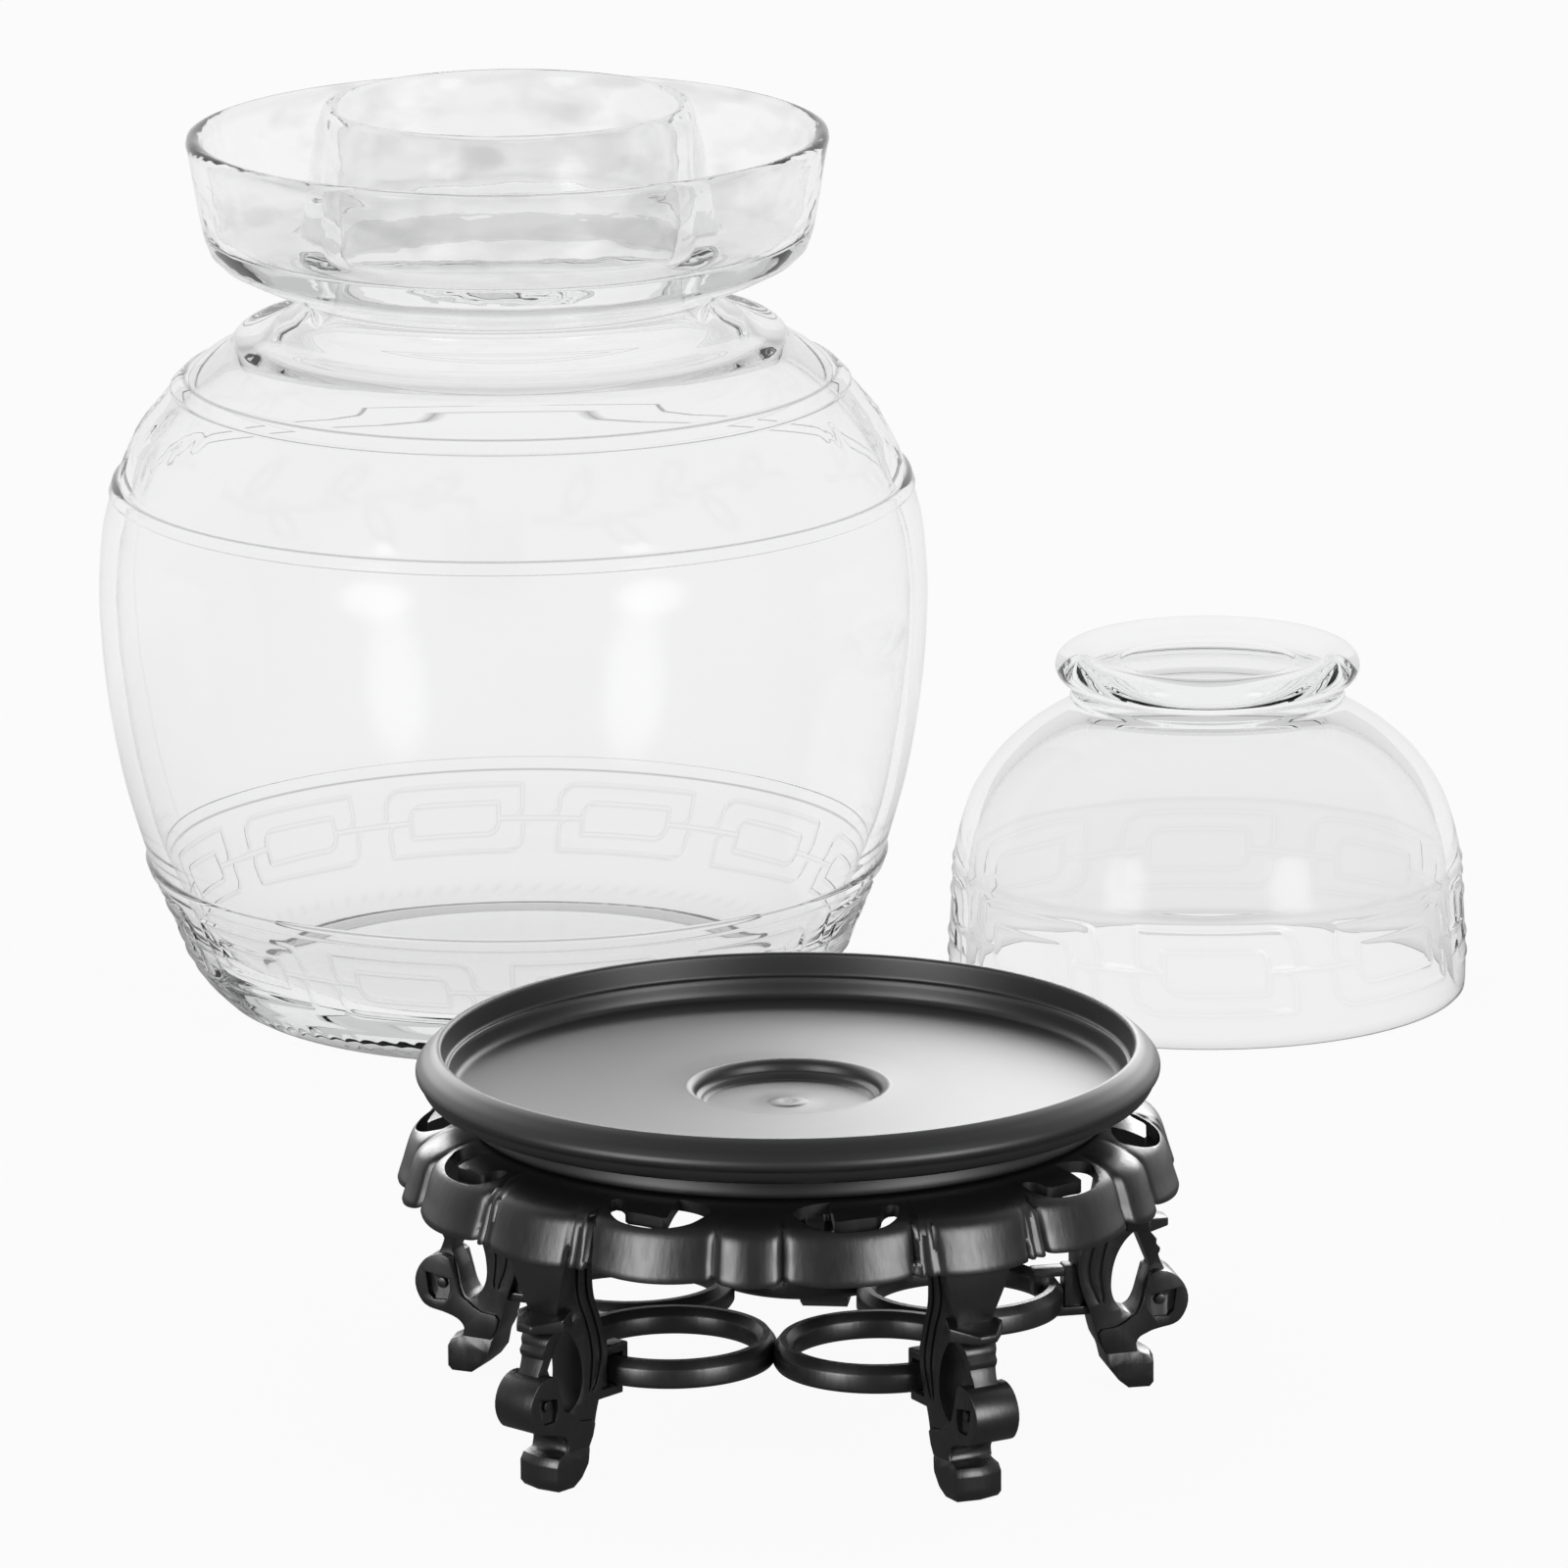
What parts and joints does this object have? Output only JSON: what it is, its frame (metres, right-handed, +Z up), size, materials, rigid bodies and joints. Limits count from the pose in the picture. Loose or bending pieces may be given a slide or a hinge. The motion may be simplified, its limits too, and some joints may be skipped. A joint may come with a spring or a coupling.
{
  "type": "glass fermentation jar",
  "caption": "Water seal pickle jar of pressed glass with a moat round its neck, a glass bowl for a lid, and a black moulded stand with scrolled legs.",
  "frame": {"origin": "centre of the whole layout's footprint, on the table: jar at the back left, lid on its rim at the back right, empty stand in front", "axes": "+Z up; the pictured front looks along +Y, with +X to the right; the layout is longest along Y"},
  "size_m": [0.2732, 0.4358, 0.1813],
  "materials": {
    "jar_glass": "clear pressed glass, faintly grey, wavy in the moat",
    "lid_glass": "clear pressed glass",
    "stand_plastic": "black moulded plastic, satin"
  },
  "bodies": {
    "stand": {"tray": "stand_plastic", "apron": "stand_plastic", "leg_1": "stand_plastic", "leg_2": "stand_plastic", "leg_3": "stand_plastic", "leg_4": "stand_plastic", "leg_5": "stand_plastic", "ring_wreath": "stand_plastic"},
    "jar": {"jar": "jar_glass"},
    "lid": {"lid_bowl": "lid_glass"}
  },
  "joints": [
    {"name": "jar_lift", "type": "slide", "parent": "stand", "child": "jar", "axis": [0, 0, 1], "range_m": [0, 0.2]},
    {"name": "lid_lift", "type": "slide", "parent": "stand", "child": "lid", "axis": [0, 0, 1], "range_m": [0, 0.2]}
  ]
}
